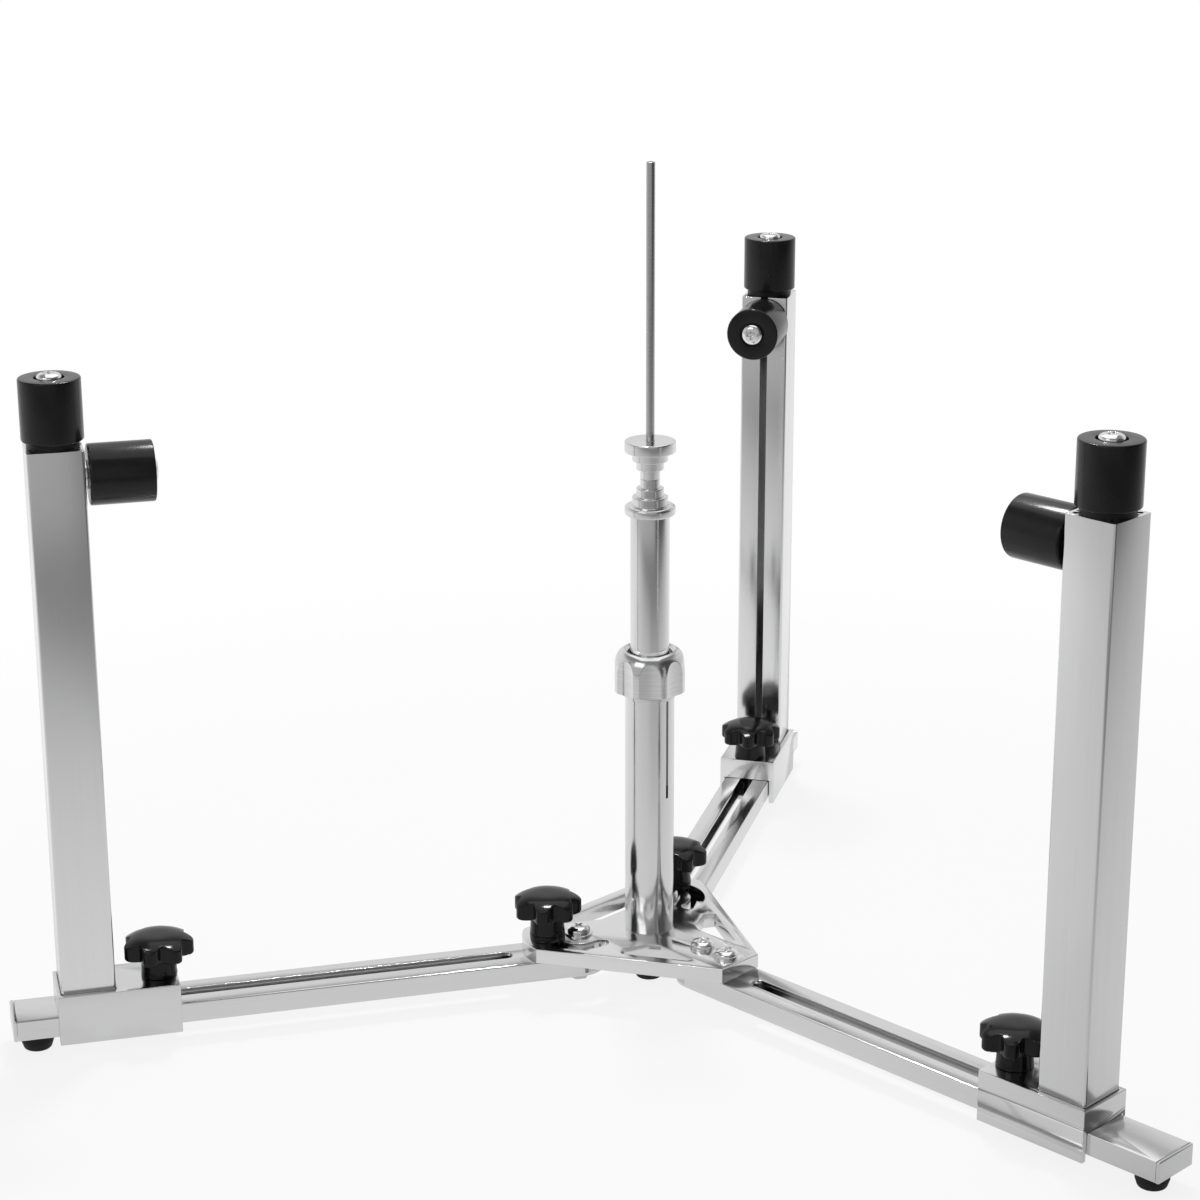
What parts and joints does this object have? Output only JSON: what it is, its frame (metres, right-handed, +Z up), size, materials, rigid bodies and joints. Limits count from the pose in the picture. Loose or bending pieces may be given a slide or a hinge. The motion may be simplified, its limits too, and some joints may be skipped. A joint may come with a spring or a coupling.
{
  "type": "bicycle wheel truing stand",
  "caption": "Folding bench stand that holds a bicycle wheel level on a rod and cones for truing, with sliding uprights, rollers and a telescoping post.",
  "frame": {"origin": "on the post's axis at the bench, at the middle of the centre foot's underside", "axes": "+Z up along the post, +X outward along the fixed arm, the back arm at +120 degrees and the left arm at -120 degrees about +Z"},
  "size_m": [0.5633, 0.6504, 0.4777],
  "materials": {
    "satin_aluminium": "satin",
    "turned_aluminium": "turned",
    "steel": "plain",
    "chrome_steel": "polished",
    "black_plastic": "gloss",
    "roller_rubber": "satin",
    "black_rubber": "matte"
  },
  "bodies": {
    "hub": {"hub_plate": "satin_aluminium", "centre_boss": "turned_aluminium", "centre_screw": "steel", "centre_foot": "black_rubber", "hub_screws": "chrome_steel", "hub_nuts": "steel", "pivot_washers": "chrome_steel", "post_tube": "satin_aluminium", "post_plug": "steel", "arm_right": "satin_aluminium", "arm_cap_right": "satin_aluminium", "arm_foot_right": "black_rubber", "arm_bushes_right": "steel"},
    "arm_left": {"arm_left": "satin_aluminium", "arm_cap_left": "satin_aluminium", "arm_foot_left": "black_rubber", "arm_fittings_left": "steel"},
    "hub_knob_left": {"hub_knob_left": "black_plastic"},
    "arm_back": {"arm_back": "satin_aluminium", "arm_cap_back": "satin_aluminium", "arm_foot_back": "black_rubber", "arm_fittings_back": "steel"},
    "hub_knob_back": {"hub_knob_back": "black_plastic"},
    "collet_nut": {"collet_nut": "turned_aluminium"},
    "post_upper": {"upper_tube": "satin_aluminium", "lower_cone": "turned_aluminium", "axle_rod": "steel"},
    "upper_cone": {"upper_cone": "turned_aluminium"},
    "saddle_right": {"saddle_right": "satin_aluminium", "clamp_plate_right": "steel", "upright_right": "satin_aluminium", "upright_screws_right": "steel", "top_plug_right": "black_plastic", "rim_bolt_right": "chrome_steel"},
    "saddle_knob_right": {"saddle_knob_right": "black_plastic"},
    "rim_roller_right": {"rim_roller_right": "roller_rubber"},
    "side_mount_right": {"side_mount_right": "chrome_steel"},
    "side_roller_right": {"side_roller_right": "roller_rubber"},
    "saddle_left": {"saddle_left": "satin_aluminium", "clamp_plate_left": "steel", "upright_left": "satin_aluminium", "upright_screws_left": "steel", "top_plug_left": "black_plastic", "rim_bolt_left": "chrome_steel"},
    "saddle_knob_left": {"saddle_knob_left": "black_plastic"},
    "rim_roller_left": {"rim_roller_left": "roller_rubber"},
    "side_mount_left": {"side_mount_left": "chrome_steel"},
    "side_roller_left": {"side_roller_left": "roller_rubber"},
    "saddle_back": {"saddle_back": "satin_aluminium", "clamp_plate_back": "steel", "upright_back": "satin_aluminium", "upright_screws_back": "steel", "top_plug_back": "black_plastic", "rim_bolt_back": "chrome_steel"},
    "saddle_knob_back": {"saddle_knob_back": "black_plastic"},
    "rim_roller_back": {"rim_roller_back": "roller_rubber"},
    "side_mount_back": {"side_mount_back": "chrome_steel"},
    "side_roller_back": {"side_roller_back": "roller_rubber"}
  },
  "joints": [
    {"name": "fold_left", "type": "hinge", "parent": "hub", "child": "arm_left", "pos_m": [-0.02125, -0.03681, 0.023], "axis": [0, 0, 1], "range_deg": [0, 120]},
    {"name": "hub_knob_turn_left", "type": "hinge", "parent": "arm_left", "child": "hub_knob_left", "pos_m": [-0.03055, -0.05291, 0.045], "axis": [0, 0, 1], "continuous": true},
    {"name": "fold_back", "type": "hinge", "parent": "hub", "child": "arm_back", "pos_m": [-0.02125, 0.03681, 0.023], "axis": [0, 0, -1], "range_deg": [0, 120]},
    {"name": "hub_knob_turn_back", "type": "hinge", "parent": "arm_back", "child": "hub_knob_back", "pos_m": [-0.03055, 0.05291, 0.045], "axis": [0, 0, 1], "continuous": true},
    {"name": "saddle_slide_right", "type": "slide", "parent": "hub", "child": "saddle_right", "axis": [1, 0, 0], "range_m": [-0.173, 0.04]},
    {"name": "saddle_knob_turn_right", "type": "hinge", "parent": "saddle_right", "child": "saddle_knob_right", "pos_m": [0.2655, 0, 0.045], "axis": [0, 0, 1], "continuous": true},
    {"name": "rim_roller_spin_right", "type": "hinge", "parent": "saddle_right", "child": "rim_roller_right", "pos_m": [0.306, 0, 0.363], "axis": [0, 0, 1], "continuous": true},
    {"name": "side_roller_height_right", "type": "slide", "parent": "saddle_right", "child": "side_mount_right", "axis": [0, 0, 1], "range_m": [-0.24, 0]},
    {"name": "side_roller_spin_right", "type": "hinge", "parent": "side_mount_right", "child": "side_roller_right", "pos_m": [0.27, 0, 0.3263], "axis": [-1, 0, 0], "continuous": true},
    {"name": "saddle_slide_left", "type": "slide", "parent": "arm_left", "child": "saddle_left", "axis": [-0.5, -0.866, 0], "range_m": [-0.143, 0.021]},
    {"name": "saddle_knob_turn_left", "type": "hinge", "parent": "saddle_left", "child": "saddle_knob_left", "pos_m": [-0.14225, -0.24638, 0.045], "axis": [0, 0, 1], "continuous": true},
    {"name": "rim_roller_spin_left", "type": "hinge", "parent": "saddle_left", "child": "rim_roller_left", "pos_m": [-0.1625, -0.28146, 0.363], "axis": [0, 0, 1], "continuous": true},
    {"name": "side_roller_height_left", "type": "slide", "parent": "saddle_left", "child": "side_mount_left", "axis": [0, 0, 1], "range_m": [-0.24, 0]},
    {"name": "side_roller_spin_left", "type": "hinge", "parent": "side_mount_left", "child": "side_roller_left", "pos_m": [-0.1445, -0.25028, 0.3263], "axis": [0.5, 0.866, 0], "continuous": true},
    {"name": "saddle_slide_back", "type": "slide", "parent": "arm_back", "child": "saddle_back", "axis": [-0.5, 0.866, 0], "range_m": [-0.135, 0.029]},
    {"name": "saddle_knob_turn_back", "type": "hinge", "parent": "saddle_back", "child": "saddle_knob_back", "pos_m": [-0.13825, 0.23946, 0.045], "axis": [0, 0, 1], "continuous": true},
    {"name": "rim_roller_spin_back", "type": "hinge", "parent": "saddle_back", "child": "rim_roller_back", "pos_m": [-0.1585, 0.27453, 0.363], "axis": [0, 0, 1], "continuous": true},
    {"name": "side_roller_height_back", "type": "slide", "parent": "saddle_back", "child": "side_mount_back", "axis": [0, 0, 1], "range_m": [-0.24, 0]},
    {"name": "side_roller_spin_back", "type": "hinge", "parent": "side_mount_back", "child": "side_roller_back", "pos_m": [-0.1405, 0.24335, 0.3263], "axis": [0.5, -0.866, 0], "continuous": true},
    {"name": "collet_nut_turn", "type": "hinge", "parent": "hub", "child": "collet_nut", "pos_m": [0, 0, 0.186], "axis": [0, 0, 1], "range_deg": [0, 270]},
    {"name": "post_height", "type": "slide", "parent": "hub", "child": "post_upper", "axis": [0, 0, 1], "range_m": [-0.075, 0.05]},
    {"name": "upper_cone_slide", "type": "slide", "parent": "post_upper", "child": "upper_cone", "axis": [0, 0, 1], "range_m": [0, 0.14]}
  ]
}
